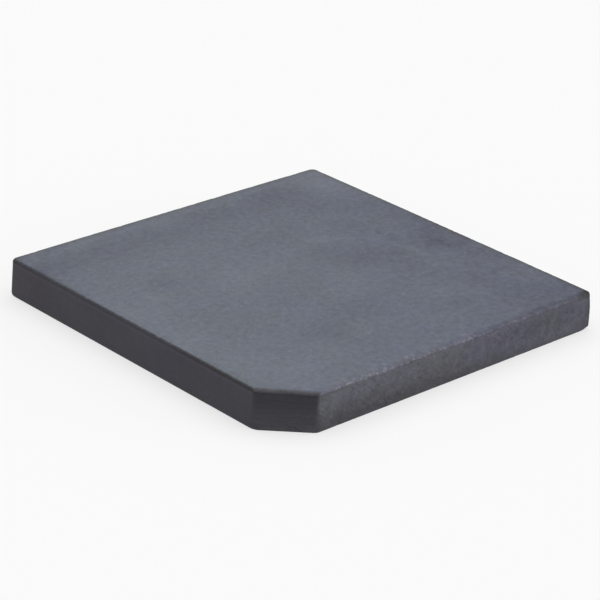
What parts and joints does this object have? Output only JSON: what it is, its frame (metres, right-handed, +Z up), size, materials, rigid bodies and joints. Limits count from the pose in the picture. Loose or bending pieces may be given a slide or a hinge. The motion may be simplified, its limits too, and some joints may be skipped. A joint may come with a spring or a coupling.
{
  "type": "granite slab",
  "caption": "Flat square slab of dark honed granite with one clipped corner and eased edges, a dead-weight work surface for stamping, punching and skiving leather.",
  "frame": {"origin": "middle of the underside, where the slab rests on the bench", "axes": "+Z up out of the honed working face, +X and +Y along the sawn sides, with the clipped corner at -X -Y"},
  "size_m": [0.3048, 0.3048, 0.03],
  "materials": {
    "honed_granite": "matte"
  },
  "bodies": {
    "root": {"granite_slab": "honed_granite"}
  },
  "joints": []
}
